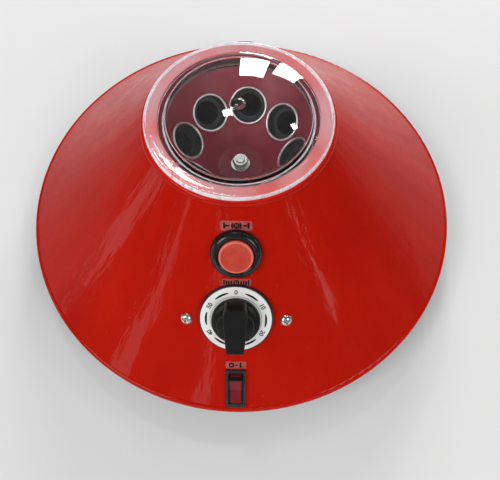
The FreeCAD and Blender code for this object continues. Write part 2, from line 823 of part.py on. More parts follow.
def armature():
    """Wound core of the motor."""
    low = armature_low()
    core = ring(armature_radius, shaft_radius + press_gap, low, low + armature_height)
    for k in range(12):
        core = core.cut(turned(centred_box(5, 2, low - 1, low + armature_height + 1,
                                           armature_radius, 0), k * 30))
    return core


def commutator():
    """Copper ring that the brushes bear on."""
    low = brush_height() - commutator_height / 2
    return ring(commutator_radius, shaft_radius + press_gap, low, low + commutator_height)


# --- rotor head and its eight places ---
def tube_frame(number):
    """A frame at a tube's mouth: local Z out of the mouth, towards the spin axis and up."""
    azimuth = first_tube_deg + number * 360 / tube_count
    lean = Placement(Vector(mouth_circle, 0, mouth_height),
                     Rotation(Vector(0, 1, 0), -tube_tilt_deg))
    return Placement(Vector(0, 0, 0), Rotation(Vector(0, 0, 1), azimuth)).multiply(lean)


def rotor_head():
    """Dished head: flat floor, hub and a conical wall square to the tubes."""
    rise = 1 / math.tan(tilt)
    drop = head_thickness / math.sin(tilt)
    rim_top = head_floor + (head_rim_radius - head_floor_radius) * rise
    under_start = head_hub_radius + 2
    under_low = head_floor - drop + (under_start - head_floor_radius) * rise
    head = revolved_polygon([
        (0, head_floor), (head_floor_radius, head_floor), (head_rim_radius, rim_top),
        (head_rim_radius, rim_top - drop), (under_start, under_low),
        (head_hub_radius, under_low), (head_hub_radius, hub_low), (0, hub_low),
    ])
    head = head.cut(cylinder(shaft_radius + press_gap, hub_low - 1, head_floor + 1))
    hole = cylinder(shield_bore_radius + shield_wall + press_gap, -2 * head_thickness,
                    head_thickness)
    seat = cylinder(shield_rim_radius + part_gap, 0, head_thickness)
    for number in range(tube_count):
        head = head.cut(moved(hole.fuse(seat), tube_frame(number)))
    return head


def tube_shield():
    """Metal shield with a rolled rim that rests on the head."""
    body = shield_bore_radius + shield_wall
    rim = shield_rim_height
    edges = polygon_edges([
        (0, -shield_length), (body - 3, -shield_length)])
    edges.append(arc_edge((body - 3, -shield_length), (body - 0.88, -shield_length + 0.88),
                          (body, -shield_length + 3)))
    edges += polygon_edges([(body, -shield_length + 3), (body, 0), (shield_rim_radius, 0),
                            (shield_rim_radius, rim * 0.5)])
    edges.append(arc_edge((shield_rim_radius, rim * 0.5),
                          ((shield_rim_radius + shield_bore_radius) / 2, rim),
                          (shield_bore_radius, rim * 0.5)))
    inner_low = -shield_length + shield_end
    edges += polygon_edges([(shield_bore_radius, rim * 0.5), (shield_bore_radius, inner_low + 3),
                            (shield_bore_radius - 3, inner_low), (0, inner_low),
                            (0, -shield_length)])
    return revolve(edges)


def cushion_top():
    """Height of the cushion's upper face in a tube's own frame."""
    return -shield_length + shield_end + cushion_thickness


def tube_adaptor():
    """Black sleeve that narrows the shield to a standard tube."""
    return ring(shield_bore_radius - adaptor_gap, adaptor_bore_radius, cushion_top(),
                -head_thickness - adaptor_top_drop)


def tube_cushion():
    """Rubber pad at the bottom of a shield."""
    low = -shield_length + shield_end
    return cylinder(shield_bore_radius - 3, low, low + cushion_thickness)


def rotor_washer():
    """Washer under the rotor's nut."""
    return ring(washer_radius, shaft_thread_radius + press_gap, head_floor,
                head_floor + washer_thickness)


def rotor_nut():
    """Hexagonal nut that clamps the head to the shaft."""
    low = head_floor + washer_thickness
    nut = hexagon(nut_across_flats, low, low + nut_height)
    return nut.cut(cylinder(shaft_thread_radius + press_gap, low - 1, low + nut_height + 1))


# --- lid ---
def lid():
    """Clear lid: flat flange on the lip, low dome and a spigot inside the mouth."""
    edge = lip_radius - lid_edge_inset
    top = lip_height + lid_thickness
    spigot_outer = mouth_radius - spigot_gap
    dome_base = spigot_outer
    apex = top + dome_rise
    sphere = (dome_base * dome_base + dome_rise * dome_rise) / (2 * dome_rise)
    centre = apex - sphere

    def dome_point(radius, inset=0.0):
        reach = sphere - inset
        return radius, centre + math.sqrt(reach * reach - radius * radius)

    edges = polygon_edges([
        (spigot_outer, lip_height), (edge, lip_height), (edge, top - 0.8), (edge - 0.8, top),
        (dome_base, top)])
    edges.append(arc_edge((dome_base, top), dome_point(dome_base * 0.6),
                          dome_point(lid_boss_radius)))
    boss_top = apex + lid_boss_height
    edges += polygon_edges([dome_point(lid_boss_radius), (lid_boss_radius - 0.8, boss_top),
                            (0, boss_top), (0, apex - dome_wall)])
    inner_end = dome_point(spigot_inner_radius, dome_wall)
    edges.append(arc_edge((0, apex - dome_wall), dome_point(dome_base * 0.5, dome_wall), inner_end))
    low = lip_height - spigot_depth
    edges += polygon_edges([inner_end, (spigot_inner_radius, low), (spigot_outer, low),
                            (spigot_outer, lip_height)])
    return revolve(edges)


def terminal_block():
    """Block on the pan's floor where the mains lead would end."""
    block = centred_box(40, 14, pan_floor, pan_floor + 12, 0, 138)
    for x in (-15, -5, 5, 15):
        block = block.cut(cylinder(2.2, pan_floor + 6, pan_floor + 13, x, 138))
    return block


nodes = {
    "base_pan": base_pan(), "rubber_feet": rubber_feet(), "foot_screws": foot_screws(),
    "body_shell": body_shell(), "shell_screws": shell_screws(),
    "brake_bezel": brake_bezel(), "brake_button": brake_button(),
    "brake_spring": brake_spring(), "brake_nut": brake_nut(),
    "brake_contact_block": brake_contact_block(),
    "dial_seat": dial_seat(), "dial_plate": dial_plate(), "timer_bracket": timer_bracket(),
    "timer_case": timer_case(), "timer_screws": timer_screws(), "timer_shaft": timer_shaft(),
    "timer_knob": timer_knob(), "switch_housing": switch_housing(),
    "rocker_paddle": rocker_paddle(), "switch_terminals": switch_terminals(),
    "gland_body": gland_body(), "gland_cap": gland_cap(), "gland_nut": gland_nut(),
    "motor_mounts": motor_mounts(), "mount_bolts": mount_bolts(), "motor_stand": motor_stand(),
    "motor_bottom_bell": motor_bottom_bell(), "motor_can": motor_can(),
    "motor_top_bell": motor_top_bell(), "motor_bushes": motor_bushes(),
    "stator_core": stator_core(), "field_coils": field_coils(),
    "brush_holders": brush_holders(), "carbon_brushes": carbon_brushes(),
    "motor_shaft": motor_shaft(), "armature": armature(), "commutator": commutator(),
    "rotor_head": rotor_head(), "rotor_washer": rotor_washer(), "rotor_nut": rotor_nut(),
    "lid": lid(), "terminal_block": terminal_block(),
}
cushions = []
for number in range(tube_count):
    place = tube_frame(number)
    nodes[f"tube_shield_{number + 1}"] = moved(tube_shield(), place)
    nodes[f"tube_adaptor_{number + 1}"] = moved(tube_adaptor(), place)
    cushions.append(moved(tube_cushion(), place))
nodes["tube_cushions"] = group(cushions)

os.makedirs("parts", exist_ok=True)
for name, shape in nodes.items():
    shape.exportStep(f"parts/{name}.step")
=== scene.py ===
import json
import math

import bmesh
import bpy
from mathutils import Matrix, Vector


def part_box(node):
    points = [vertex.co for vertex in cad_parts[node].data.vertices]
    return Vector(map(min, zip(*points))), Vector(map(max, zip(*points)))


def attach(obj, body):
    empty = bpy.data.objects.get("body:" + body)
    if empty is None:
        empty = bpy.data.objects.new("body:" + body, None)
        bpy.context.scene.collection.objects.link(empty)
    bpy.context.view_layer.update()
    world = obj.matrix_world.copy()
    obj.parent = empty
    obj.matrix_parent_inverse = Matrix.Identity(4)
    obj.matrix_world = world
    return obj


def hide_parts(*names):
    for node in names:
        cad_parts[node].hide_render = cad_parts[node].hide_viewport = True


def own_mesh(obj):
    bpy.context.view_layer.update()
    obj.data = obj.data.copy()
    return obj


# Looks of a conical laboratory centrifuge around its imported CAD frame. Metres, +Z up, controls at -Y.

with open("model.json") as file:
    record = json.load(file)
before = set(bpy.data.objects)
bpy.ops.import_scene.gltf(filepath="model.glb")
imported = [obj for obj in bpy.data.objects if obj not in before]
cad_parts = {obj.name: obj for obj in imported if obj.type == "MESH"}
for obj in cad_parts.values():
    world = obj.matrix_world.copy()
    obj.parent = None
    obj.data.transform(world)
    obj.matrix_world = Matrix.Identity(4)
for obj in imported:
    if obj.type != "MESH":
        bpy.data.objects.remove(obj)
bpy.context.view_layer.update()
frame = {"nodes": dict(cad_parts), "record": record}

MM = 0.001

# --- sizes repeated from the frame's own construction, in millimetres ---
NECK = (66.0, 140.0)
SHOULDER = (172.0, 33.5)
FLARE_SAG = 2.5
BRAKE_PLACE = 86.7
TIMER_PLACE = 119.4
SWITCH_PLACE = 160.0
GLAND_PLACE = 156.0
LABEL_BRAKE_UP = 19.3            # each film's middle, uphill of its control's centre
LABEL_TIMER_UP = 26.3
LABEL_SWITCH_UP = 18.5
MOUTH_CIRCLE = 38.7
MOUTH_HEIGHT = 108.2
FIRST_TUBE_DEG = 82.0
TUBE_TILT_DEG = 45.0
TUBE_COUNT = 8
HEAD_FLOOR = 86.5                # the rotor's flat middle, where the washer sits


# ---------------------------------------------------------------- materials
class Paint:
    """A node material: the Principled shader and short calls for the nodes in front of it."""

    def __init__(self, name, roughness=0.4, metallic=0.0, coat=0.0, ior=1.5):
        self.material = bpy.data.materials.new(name)
        self.material.use_nodes = True
        self.nodes = self.material.node_tree.nodes
        self.links = self.material.node_tree.links
        self.shader = self.nodes["Principled BSDF"]
        self.set("Roughness", roughness)
        self.set("Metallic", metallic)
        self.set("Coat Weight", coat)
        self.set("Coat Roughness", 0.03)
        self.set("IOR", ior)
        self.place = self.nodes.new("ShaderNodeTexCoord").outputs["Object"]

    def set(self, socket, value):
        self.shader.inputs[socket].default_value = value

    def link(self, source, target):
        self.links.new(source, target)

    def noise(self, scale, detail=4.0, stretch=(1, 1, 1), distortion=0.0):
        """Noise in the object's own space, as a value from 0 to 1."""
        mapping = self.nodes.new("ShaderNodeMapping")
        mapping.inputs["Scale"].default_value = stretch
        self.link(self.place, mapping.inputs["Vector"])
        noise = self.nodes.new("ShaderNodeTexNoise")
        noise.inputs["Scale"].default_value = scale
        noise.inputs["Detail"].default_value = detail
        noise.inputs["Roughness"].default_value = 0.55
        noise.inputs["Distortion"].default_value = distortion
        self.link(mapping.outputs["Vector"], noise.inputs["Vector"])
        return noise.outputs["Fac"]

    def ramp(self, value, stops):
        """Colours or greys along a value; stops are (position, colour) pairs."""
        ramp = self.nodes.new("ShaderNodeValToRGB")
        self.link(value, ramp.inputs["Fac"])
        elements = ramp.color_ramp.elements
        while len(elements) < len(stops):
            elements.new(0.5)
        for element, (position, colour) in zip(elements, stops):
            element.position = position
            element.color = (*colour, 1.0) if len(colour) == 3 else colour
        return ramp.outputs["Color"]

    def math(self, operation, a, b=0.0):
        node = self.nodes.new("ShaderNodeMath")
        node.operation = operation
        for socket, value in zip(node.inputs, (a, b)):
            if isinstance(value, (int, float)):
                socket.default_value = value
            else:
                self.link(value, socket)
        return node.outputs["Value"]

    def mix(self, factor, a, b):
        node = self.nodes.new("ShaderNodeMix")
        node.data_type = "RGBA"
        sockets = {s.identifier: s for s in node.inputs}
        for key, value in (("Factor_Float", factor), ("A_Color", a), ("B_Color", b)):
            socket = sockets[key]
            if isinstance(value, tuple):
                socket.default_value = (*value, 1.0)
            elif isinstance(value, (int, float)):
                socket.default_value = value
            else:
                self.link(value, socket)
        return {s.identifier: s for s in node.outputs}["Result_Color"]

    def bump(self, height, distance, strength=1.0, coat=False):
        node = self.nodes.new("ShaderNodeBump")
        node.inputs["Strength"].default_value = strength
        node.inputs["Distance"].default_value = distance
        self.link(height, node.inputs["Height"])
        self.link(node.outputs["Normal"], self.shader.inputs["Normal"])
        if coat:
            self.link(node.outputs["Normal"], self.shader.inputs["Coat Normal"])
        return node

    def let_lamps_through(self):
        """Light from the lamps passes this surface, and sight still meets the glass."""
        path = self.nodes.new("ShaderNodeLightPath")
        clear = self.nodes.new("ShaderNodeBsdfTransparent")
        mix = self.nodes.new("ShaderNodeMixShader")
        self.link(path.outputs["Is Shadow Ray"], mix.inputs["Fac"])
        self.link(self.shader.outputs["BSDF"], mix.inputs[1])
        self.link(clear.outputs["BSDF"], mix.inputs[2])
        self.link(mix.outputs["Shader"], self.nodes["Material Output"].inputs["Surface"])

    def colour(self, source):
        self.link(source, self.shader.inputs["Base Color"])

    def roughness(self, source):
        self.link(source, self.shader.inputs["Roughness"])


def red_gel_coat():
    """Hand-laid red gel coat: glossy, slightly wavy, with faint streaks down the flare."""
    paint = Paint("red_gel_coat", roughness=0.34, coat=0.18)
    paint.set("Coat Roughness", 0.05)
    paint.set("Specular IOR Level", 0.03)
    separate = paint.nodes.new("ShaderNodeSeparateXYZ")
    paint.link(paint.place, separate.inputs["Vector"])
    angle = paint.math("ARCTAN2", separate.outputs["Y"], separate.outputs["X"])
    combine = paint.nodes.new("ShaderNodeCombineXYZ")
    paint.link(paint.math("COSINE", angle), combine.inputs["X"])
    paint.link(paint.math("SINE", angle), combine.inputs["Y"])
    paint.link(paint.math("MULTIPLY", separate.outputs["Z"], 3.0), combine.inputs["Z"])
    streaks = paint.nodes.new("ShaderNodeTexNoise")
    streaks.inputs["Scale"].default_value = 5.0
    streaks.inputs["Detail"].default_value = 5.0
    paint.link(combine.outputs["Vector"], streaks.inputs["Vector"])
    cloud = paint.noise(9.0, detail=3.0)
    tone = paint.math("ADD", paint.math("MULTIPLY", streaks.outputs["Fac"], 0.6),
                      paint.math("MULTIPLY", cloud, 0.4))
    base = paint.ramp(tone, [(0.3, (0.38, 0.005, 0.001)), (0.55, (0.44, 0.007, 0.001)),
                             (0.8, (0.50, 0.014, 0.003))])
    # Small lighter pink specks, gathered in patches, are painted glints on the gloss.
    glint_specks = paint.ramp(paint.noise(420.0, detail=2.0), [(0.70, (0, 0, 0)), (0.74, (1, 1, 1))])
    glint_patches = paint.ramp(paint.noise(14.0, detail=2.0), [(0.55, (0, 0, 0)), (0.68, (0.5, 0.5, 0.5))])
    marks = paint.math("MULTIPLY", glint_specks, glint_patches)
    paint.colour(paint.mix(marks, base, (0.62, 0.16, 0.12)))
    paint.roughness(paint.ramp(paint.noise(60.0), [(0.3, (0.22,) * 3), (0.8, (0.36,) * 3)]))
    waves = paint.math("ADD", paint.math("MULTIPLY", streaks.outputs["Fac"], 0.8),
                       paint.math("MULTIPLY", paint.noise(26.0, detail=2.0), 0.25))
    peel = paint.math("MULTIPLY", paint.noise(700.0, detail=1.0), 0.012)
    paint.bump(paint.math("ADD", waves, peel), 0.0035, strength=0.35, coat=True)
    return paint.material


def satin_black(name="satin_black", tone=0.012, roughness=0.42, specular=0.5):
    paint = Paint(name, roughness=roughness)
    paint.set("Specular IOR Level", specular)
    paint.colour(paint.ramp(paint.noise(90.0), [(0.3, (tone * 0.75,) * 3), (0.75, (tone * 1.4,) * 3)]))
    paint.roughness(paint.ramp(paint.noise(220.0), [(0.3, (roughness * 0.8,) * 3),
                                                    (0.7, (roughness * 1.2,) * 3)]))
    paint.bump(paint.noise(1500.0, detail=2.0), 0.0002, strength=0.35)
    return paint.material


def gloss_black():
    """Polished black plastic of the button's collar."""
    paint = Paint("gloss_black", roughness=0.22, coat=0.1)
    paint.set("Specular IOR Level", 0.35)
    paint.colour(paint.ramp(paint.noise(70.0), [(0.3, (0.006, 0.005, 0.006)),
                                                (0.8, (0.016, 0.014, 0.015))]))
    paint.roughness(paint.ramp(paint.noise(130.0), [(0.35, (0.16,) * 3), (0.75, (0.32,) * 3)]))
    paint.bump(paint.noise(600.0, detail=2.0), 0.0002, strength=0.25)
    return paint.material


def rubber():
    paint = Paint("black_rubber", roughness=0.75)
    paint.colour(paint.ramp(paint.noise(120.0), [(0.3, (0.014,) * 3), (0.8, (0.035,) * 3)]))
    paint.roughness(paint.ramp(paint.noise(300.0), [(0.3, (0.65,) * 3), (0.7, (0.85,) * 3)]))
    paint.bump(paint.noise(900.0, detail=3.0), 0.0004, strength=0.5)
    return paint.material


def metal(name, tone, roughness=0.3, grain=(1, 1, 12), scale=160.0):
    """Worn metal with a fine grain along one direction."""
    paint = Paint(name, roughness=roughness, metallic=1.0)
    grain_value = paint.noise(scale, detail=6.0, stretch=grain)
    dark = tuple(c * 0.82 for c in tone)
    paint.colour(paint.ramp(grain_value, [(0.25, dark), (0.75, tone)]))
    paint.roughness(paint.ramp(paint.noise(scale * 0.7, stretch=grain),
                               [(0.3, (roughness * 0.75,) * 3), (0.7, (roughness * 1.35,) * 3)]))
    paint.bump(grain_value, 0.0002, strength=0.25)
    return paint.material


def maroon_enamel():
    """Dark red enamel of the rotor's head, with lighter pinkish streaks painted in as reflection."""
    paint = Paint("maroon_enamel", roughness=0.34, coat=0.08)
    paint.set("Coat Roughness", 0.10)
    paint.set("Specular IOR Level", 0.08)
    # The lightest pinkish stop paints reflection streaks across the head; the darker stops are the
    # enamel's own tone.
    sheen_streaks = paint.noise(30.0, detail=5.0, stretch=(1, 1, 0.3), distortion=0.4)
    paint.colour(paint.ramp(sheen_streaks, [(0.3, (0.15, 0.014, 0.022)), (0.6, (0.20, 0.022, 0.034)),
                                   (0.85, (0.30, 0.07, 0.085))]))
    paint.roughness(paint.ramp(paint.noise(80.0), [(0.3, (0.26,) * 3), (0.75, (0.46,) * 3)]))
    paint.bump(paint.noise(320.0, detail=3.0), 0.0003, strength=0.35, coat=True)
    return paint.material


def clear_acrylic():
    """Clear moulded lid: smooth, faintly scuffed."""
    paint = Paint("clear_acrylic", roughness=0.02, ior=1.49)
    paint.set("Transmission Weight", 1.0)
    scuffs = paint.ramp(paint.noise(160.0, detail=5.0, stretch=(1, 5, 1)),
                        [(0.62, (0.0,) * 3), (0.85, (0.10,) * 3)])
    paint.roughness(scuffs)
    paint.colour(paint.ramp(paint.noise(12.0), [(0.3, (0.955, 0.97, 0.975)),
                                                (0.8, (0.985, 0.99, 0.99))]))
    paint.bump(paint.noise(40.0, detail=2.0), 0.0004, strength=0.12)
    paint.let_lamps_through()
    return paint.material


def hazed_acrylic(name, clear_low, clear_high, roughness):
    """Acrylic that scatters part of the light: its moulded edges, whitish as a painted highlight line,
    and its hazier flange.
    """
    paint = Paint(name, roughness=roughness, ior=1.49)
    haze = paint.noise(26.0, detail=4.0, stretch=(1, 1, 2), distortion=0.3)
    clear = paint.ramp(haze, [(0.35, (clear_low,) * 3), (0.7, (clear_high,) * 3)])
    paint.link(clear, paint.shader.inputs["Transmission Weight"])
    # Whitish colour under partial clearness; on the edge copy it paints the bright highlight line.
    paint.colour(paint.ramp(haze, [(0.3, (0.78, 0.79, 0.86)), (0.7, (0.95, 0.95, 0.98))]))
    paint.roughness(paint.ramp(paint.noise(150.0, detail=4.0), [(0.3, (roughness * 0.6,) * 3),
                                                                (0.75, (roughness * 1.4,) * 3)]))
    paint.bump(paint.noise(220.0, detail=3.0), 0.0002, strength=0.3)
    paint.let_lamps_through()
    return paint.material


def button_red(name="button_red", dark=(0.46, 0.036, 0.02), light=(0.54, 0.062, 0.036)):
    """Red moulded cap, satin; a lighter copy paints the highlight along the cap's edge."""
    paint = Paint(name, roughness=0.33)
    paint.set("Specular IOR Level", 0.3)
    paint.colour(paint.ramp(paint.noise(160.0, detail=5.0), [(0.3, dark), (0.8, light)]))
    paint.roughness(paint.ramp(paint.noise(200.0), [(0.3, (0.26,) * 3), (0.75, (0.42,) * 3)]))
    paint.bump(paint.noise(1100.0), 0.0002, strength=0.3)
    return paint.material


def rocker_red(low_z, high_z):
    """Black rocker with a dark red window let into its face."""
    paint = Paint("rocker_red", roughness=0.2, coat=0.05)
    paint.set("Specular IOR Level", 0.15)
    red = paint.ramp(paint.noise(90.0), [(0.3, (0.15, 0.006, 0.012)), (0.8, (0.24, 0.012, 0.022))])
    separate = paint.nodes.new("ShaderNodeSeparateXYZ")
    paint.link(paint.place, separate.inputs["Vector"])
    across = paint.math("ABSOLUTE", separate.outputs["X"])
    beside = paint.math("GREATER_THAN", across, WINDOW_HALF_WIDTH)
    span = high_z - low_z
    above = paint.math("GREATER_THAN", separate.outputs["Z"], high_z - 0.04 * span)
    below = paint.math("LESS_THAN", separate.outputs["Z"], low_z + 0.20 * span)
    frame_share = paint.math("MAXIMUM", beside, paint.math("MAXIMUM", above, below))
    paint.colour(paint.mix(frame_share, red, (0.012, 0.011, 0.012)))
    paint.roughness(paint.ramp(paint.noise(150.0), [(0.3, (0.13,) * 3), (0.75, (0.26,) * 3)]))
    paint.bump(paint.noise(500.0), 0.0002, strength=0.2)
    return paint.material


def plain(name, dark, light, roughness, scale=120.0, bump_scale=700.0, metallic=0.0):
    """A moulded or painted surface with mottled tone, varied gloss and fine grain."""
    paint = Paint(name, roughness=roughness, metallic=metallic)
    paint.colour(paint.ramp(paint.noise(scale), [(0.3, dark), (0.75, light)]))
    paint.roughness(paint.ramp(paint.noise(scale * 1.7), [(0.3, (roughness * 0.8,) * 3),
                                                          (0.75, (roughness * 1.2,) * 3)]))
    paint.bump(paint.noise(bump_scale), 0.0002, strength=0.3)
    return paint.material


def label_film():
    """Clear film over a printed sign: nearly bare, catching light at its edges and creases."""
    paint = Paint("label_film", roughness=0.12, ior=1.45)
    paint.set("Alpha", 0.22)
    paint.colour(paint.ramp(paint.noise(260.0, detail=4.0), [(0.35, (0.52, 0.16, 0.14)),
                                                            (0.75, (0.68, 0.34, 0.32))]))
    paint.roughness(paint.ramp(paint.noise(180.0), [(0.3, (0.08,) * 3), (0.75, (0.25,) * 3)]))
    paint.bump(paint.noise(300.0, detail=2.0), 0.0002, strength=0.4)
    return paint.material


ROCKER_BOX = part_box("rocker_paddle")
WINDOW_HALF_WIDTH = 0.0037

MATERIALS = {
    "red_gloss": red_gel_coat(),
    "pan_steel": plain("pan_powder_coat", (0.022,) * 3, (0.045,) * 3, 0.5, bump_scale=1200.0),
    "black_rubber": rubber(),
    "plated_steel": metal("plated_steel", (0.72, 0.72, 0.70), 0.28),
    "spring_steel": metal("spring_steel", (0.5, 0.5, 0.5), 0.3),
    "black_gloss": gloss_black(),
    "black_satin": satin_black(),
    "black_knob": satin_black("black_knob", 0.004, 0.36, 0.22),
    "button_red": button_red(),
    "rocker_red": rocker_red(ROCKER_BOX[0][2], ROCKER_BOX[1][2]),
    "dial_face": plain("printed_white", (0.80, 0.80, 0.79), (0.87, 0.87, 0.86), 0.35),
    "brass": metal("brass", (0.72, 0.52, 0.25), 0.3),
    "copper": metal("copper", (0.72, 0.36, 0.2), 0.35),
    "carbon": plain("carbon", (0.03,) * 3, (0.06,) * 3, 0.55),
    "lamination_steel": metal("lamination_steel", (0.3, 0.3, 0.32), 0.45, grain=(1, 1, 40)),
    "motor_aluminium": metal("motor_aluminium", (0.66, 0.66, 0.66), 0.42, grain=(1, 1, 1)),
    "motor_paint": plain("motor_enamel", (0.10, 0.11, 0.12), (0.14, 0.15, 0.16), 0.4),
    "maroon_paint": maroon_enamel(),
    "shield_aluminium": metal("shield_aluminium", (0.92, 0.91, 0.91), 0.34),
    "adaptor_black": satin_black("adaptor_black", 0.026, 0.5, 0.15),
    "clear_acrylic": clear_acrylic(),
}


SHIELD_INSIDE = satin_black("shield_inside", 0.03, 0.35, 0.4)
INK = satin_black("printing_ink", 0.004, 0.5, 0.1)
GREY_INK = plain("grey_ink", (0.30,) * 3, (0.36,) * 3, 0.5)
FILM = label_film()
# Lighter red for the cap's rounded edge: a painted highlight.
CAP_EDGE_HIGHLIGHT = button_red("cap_edge_highlight", (0.66, 0.14, 0.09), (0.76, 0.20, 0.14))
# Edge copy: whitish and cloudy, a painted highlight along the lid's outer bead and the spigot's lower
# edge.
EDGE_HAZE_AND_GLINT = hazed_acrylic("edge_haze_and_glint", 0.25, 0.60, 0.30)
# Flange copy: mostly clear, with a whitish haze in patches.
HAZED_FLANGE_ACRYLIC = hazed_acrylic("hazed_flange_acrylic", 0.80, 0.97, 0.07)


# ---------------------------------------------------------------- frames on the flare
def flare_arc():
    """Radius and centre of the arc that the flare's side follows."""
    chord = math.dist(NECK, SHOULDER)
    radius = (chord * chord / 4 + FLARE_SAG * FLARE_SAG) / (2 * FLARE_SAG)
    normal = ((NECK[1] - SHOULDER[1]) / chord, (SHOULDER[0] - NECK[0]) / chord)
    centre = [(NECK[i] + SHOULDER[i]) / 2 + normal[i] * (radius - FLARE_SAG) for i in (0, 1)]
    return radius, centre


ARC_RADIUS, ARC_CENTRE = flare_arc()


def flare_height(distance):
    reach = ARC_CENTRE[0] - distance
    return ARC_CENTRE[1] - math.sqrt(ARC_RADIUS ** 2 - reach ** 2)


def panel(distance, side=0.0, azimuth_deg=-90.0):
    """Matrix of a frame on the flare, in metres, from a place in millimetres.

    Its Z points out of the flare, Y uphill and X to the right.
    """
    height = flare_height(distance)
    normal_r = (ARC_CENTRE[0] - distance) / ARC_RADIUS
    normal_z = (ARC_CENTRE[1] - height) / ARC_RADIUS
    azimuth = math.radians(azimuth_deg) + math.asin(side / distance)
    outward = Vector((math.cos(azimuth), math.sin(azimuth), 0))
    normal = outward * normal_r + Vector((0, 0, normal_z))
    across = Vector((-math.sin(azimuth), math.cos(azimuth), 0))
    uphill = normal.cross(across)
    spot = (outward * distance + Vector((0, 0, height))) * MM
    matrix = Matrix((across, uphill, normal)).transposed().to_4x4()
    matrix.translation = spot
    return matrix


BRAKE = panel(BRAKE_PLACE)
TIMER = panel(TIMER_PLACE)
SWITCH = panel(SWITCH_PLACE)


def drop_to_flare(matrix, x, y):
    """Local height of the flare's surface under a panel's local point, all in millimetres."""
    low, high = -12.0, 12.0
    for _ in range(40):
        middle = (low + high) / 2
        spot = matrix @ Vector((x * MM, y * MM, middle * MM))
        distance = math.hypot(spot.x, spot.y) / MM
        if spot.z / MM > flare_height(distance):
            high = middle
        else:
            low = middle
    return (low + high) / 2


# ---------------------------------------------------------------- mesh helpers
def to_object(mesh_data, name, material, sharp_deg=35.0):
    """An object from a bmesh, smooth except along edges sharper than the angle."""
    bmesh.ops.remove_doubles(mesh_data, verts=mesh_data.verts, dist=1e-7)
    bmesh.ops.recalc_face_normals(mesh_data, faces=mesh_data.faces)
    limit = math.radians(sharp_deg)
    for face in mesh_data.faces:
        face.smooth = True
    for edge in mesh_data.edges:
        if len(edge.link_faces) == 2:
            edge.smooth = edge.calc_face_angle(0.0) < limit
    mesh = bpy.data.meshes.new(name)
    mesh_data.to_mesh(mesh)
    mesh_data.free()
    item = bpy.data.objects.new(name, mesh)
    bpy.context.collection.objects.link(item)
    for entry in material if isinstance(material, list) else [material]:
        item.data.materials.append(entry)
    return item


def lathe(name, profile, material, place=Matrix.Identity(4), segments=128, sharp_deg=35.0,
          slots=None):
    """A closed solid of revolution from an outline of (r, z) points in millimetres.

    slots gives a material index to each stretch of the outline, if it needs more than one.
    """
    data = bmesh.new()
    rings = []
    for radius, height in profile:
        if radius < 1e-6:
            rings.append([data.verts.new(place @ Vector((0, 0, height * MM)))])
            continue
        ring = []
        for step in range(segments):
            angle = 2 * math.pi * step / segments
            spot = Vector((radius * math.cos(angle), radius * math.sin(angle), height)) * MM
            ring.append(data.verts.new(place @ spot))
        rings.append(ring)
    closed = len(rings[0]) > 1 or len(rings[-1]) > 1
    pairs = list(zip(rings, rings[1:]))
    if closed:
        pairs.append((rings[-1], rings[0]))
    for index, (a, b) in enumerate(pairs):
        for step in range(segments):
            nxt = (step + 1) % segments
            corners = [a[step % len(a)], a[nxt % len(a)], b[nxt % len(b)], b[step % len(b)]]
            corners = [c for i, c in enumerate(corners) if c not in corners[:i]]
            if len(corners) > 2:
                face = data.faces.new(corners)
                if slots:
                    face.material_index = slots[index]
    return to_object(data, name, material, sharp_deg)


def skin(data, rings, closed=True):
    """Four-sided faces between each ring of points and the next, and back to the first if closed."""
    followers = rings[1:] + rings[:1] if closed else rings[1:]
    for ring, follower in zip(rings, followers):
        for step in range(len(ring)):
            nxt = (step + 1) % len(ring)
            data.faces.new([ring[step], ring[nxt], follower[nxt], follower[step]])


def arc(centre, radius, start_deg, end_deg, steps=8):
    """Points along an arc, for an outline."""
    cx, cy = centre
    return [
        (cx + radius * math.cos(math.radians(start_deg + (end_deg - start_deg) * k / steps)),
         cy + radius * math.sin(math.radians(start_deg + (end_deg - start_deg) * k / steps)))
        for k in range(steps + 1)
    ]


def prism(name, outline, low, high, material, place, top_scale=1.0):
    """A block from an outline of (x, y) millimetres between two heights."""
    data = bmesh.new()
    layers = []
    for height, scale in ((low, 1.0), (high, top_scale)):
        layers.append([data.verts.new(place @ Vector((x * scale * MM, y * scale * MM, height * MM)))
                       for x, y in outline])
    data.faces.new(layers[0][::-1])
    data.faces.new(layers[1])
    count = len(outline)
    for k in range(count):
        nxt = (k + 1) % count
        data.faces.new([layers[0][k], layers[0][nxt], layers[1][nxt], layers[1][k]])
    return to_object(data, name, material)


def bevel(item, width, segments=3, angle_deg=30.0):
    modifier = item.modifiers.new("edges", "BEVEL")
    modifier.width = width * MM
    modifier.segments = segments
    modifier.limit_method = "ANGLE"
    modifier.angle_limit = math.radians(angle_deg)
    modifier.harden_normals = True
    return item


def finish_piece(item, body, slot, *replaced):
    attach(item, body)
    if replaced:
        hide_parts(*replaced)
    return item


# ---------------------------------------------------------------- carried-over CAD nodes
slot_of = {entry["node"]: entry["material_slot"] for entry in frame["record"]["subparts"]}
for node_name, node in frame["nodes"].items():
    node.data.materials.clear()
    node.data.materials.append(MATERIALS[slot_of[node_name]])


